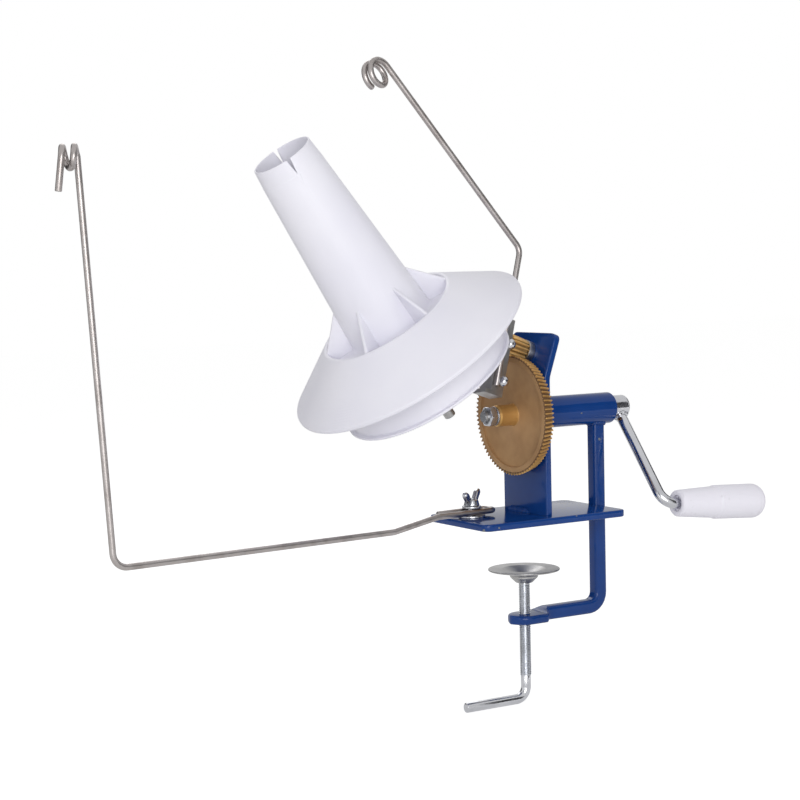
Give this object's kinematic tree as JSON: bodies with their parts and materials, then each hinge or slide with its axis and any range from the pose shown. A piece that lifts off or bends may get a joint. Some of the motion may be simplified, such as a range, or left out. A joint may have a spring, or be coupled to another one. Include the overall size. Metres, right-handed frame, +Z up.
{
  "type": "yarn ball winder",
  "caption": "Table-edge yarn winder: a crank and bevel gears whirl a bent wire round a slowly turning tilted cone, with a wire yarn guide and a screw clamp.",
  "frame": {"origin": "underside of the base plate, where the clamp screw axis meets it", "axes": "+Z up, +X along the crank shaft from the cone towards the crank, +Y across the plate"},
  "size_m": [0.53, 0.176, 0.4549],
  "materials": {
    "enamel": "gloss enamel",
    "bronze": "plain bearing bronze",
    "zinc": "bright zinc plate",
    "chrome": "bright plate",
    "steel": "bare steel",
    "wire": "drawn steel wire",
    "gear_brass": "sintered, matt",
    "pinion_brass": "machined",
    "grip_plastic": "smooth",
    "cone_plastic": "satin moulding",
    "rubber": "matt"
  },
  "bodies": {
    "frame": {"base_plate": "enamel", "upright_plate": "enamel", "bearing_tube": "enamel", "front_bush": "bronze", "rear_bush": "bronze", "thrust_washer": "steel", "clamp_bar": "enamel", "flyer_axle": "steel", "axle_washer": "zinc", "axle_nut": "zinc", "axle_collar": "steel", "cone_bracket": "steel", "cone_axle": "steel", "axle_spacer": "steel", "lower_nut": "zinc", "top_nut": "zinc", "guide_stud": "zinc"},
    "crank": {"crank_shaft": "steel", "crank_hub": "chrome", "crank_arm": "chrome", "drive_gear": "gear_brass", "gear_washer": "zinc", "gear_nut": "zinc", "grip_nut": "zinc"},
    "grip": {"hand_grip": "grip_plastic", "grip_cap": "grip_plastic"},
    "flyer": {"pinion": "pinion_brass", "flyer_sleeve": "steel", "bar_spacer": "steel", "flyer_bar": "steel", "flyer_wire": "wire", "upper_screw": "chrome", "lower_screw": "chrome", "friction_ring": "rubber"},
    "cone": {"winding_cone": "cone_plastic", "drum": "cone_plastic"},
    "pad": {"clamp_pad": "zinc"},
    "screw": {"clamp_screw": "chrome"},
    "swivel": {"guide_washer": "zinc", "top_washer": "zinc"},
    "guide": {"guide_wire": "wire"},
    "nut": {"wing_nut": "zinc"}
  },
  "joints": [
    {"name": "crank_spin", "type": "hinge", "parent": "frame", "child": "crank", "pos_m": [0, 0, 0.075], "axis": [-1, 0, 0], "continuous": true},
    {"name": "grip_spin", "type": "hinge", "parent": "crank", "child": "grip", "pos_m": [0.0854, -0.0526, 0.00887], "axis": [0.9976, -0.0434, -0.0546], "continuous": true},
    {"name": "flyer_spin", "type": "hinge", "parent": "frame", "child": "flyer", "pos_m": [0.13418, 0, 0.075], "axis": [-0.9455, 0, 0.3256], "continuous": true},
    {"name": "cone_spin", "type": "hinge", "parent": "frame", "child": "cone", "pos_m": [-0.094, 0, 0.1255], "axis": [-0.5807, 0, 0.8141], "continuous": true},
    {"name": "clamp_travel", "type": "slide", "parent": "frame", "child": "pad", "axis": [0, 0, 1], "range_m": [-0.02, 0.03438]},
    {"name": "clamp_turn", "type": "hinge", "parent": "pad", "child": "screw", "pos_m": [0, 0, -0.06], "axis": [0, 0, 1], "range_deg": [-5760, 9900]},
    {"name": "guide_swing", "type": "hinge", "parent": "frame", "child": "swivel", "pos_m": [-0.041, 0.004, 0], "axis": [0, 0, 1], "range_deg": [-40, 40]},
    {"name": "guide_slide", "type": "slide", "parent": "swivel", "child": "guide", "axis": [0.9962, 0.0872, 0], "range_m": [-0.011, 0.012]},
    {"name": "wing_nut_turn", "type": "hinge", "parent": "frame", "child": "nut", "pos_m": [-0.041, 0.004, 0], "axis": [0, 0, 1], "range_deg": [-90, 90]}
  ],
  "couplings": [
    {"joint": "flyer_spin", "follows": "crank_spin", "ratio": -6},
    {"joint": "cone_spin", "follows": "crank_spin", "ratio": -0.75281},
    {"joint": "clamp_travel", "follows": "clamp_turn", "m_per_rad": 0.00019894}
  ]
}
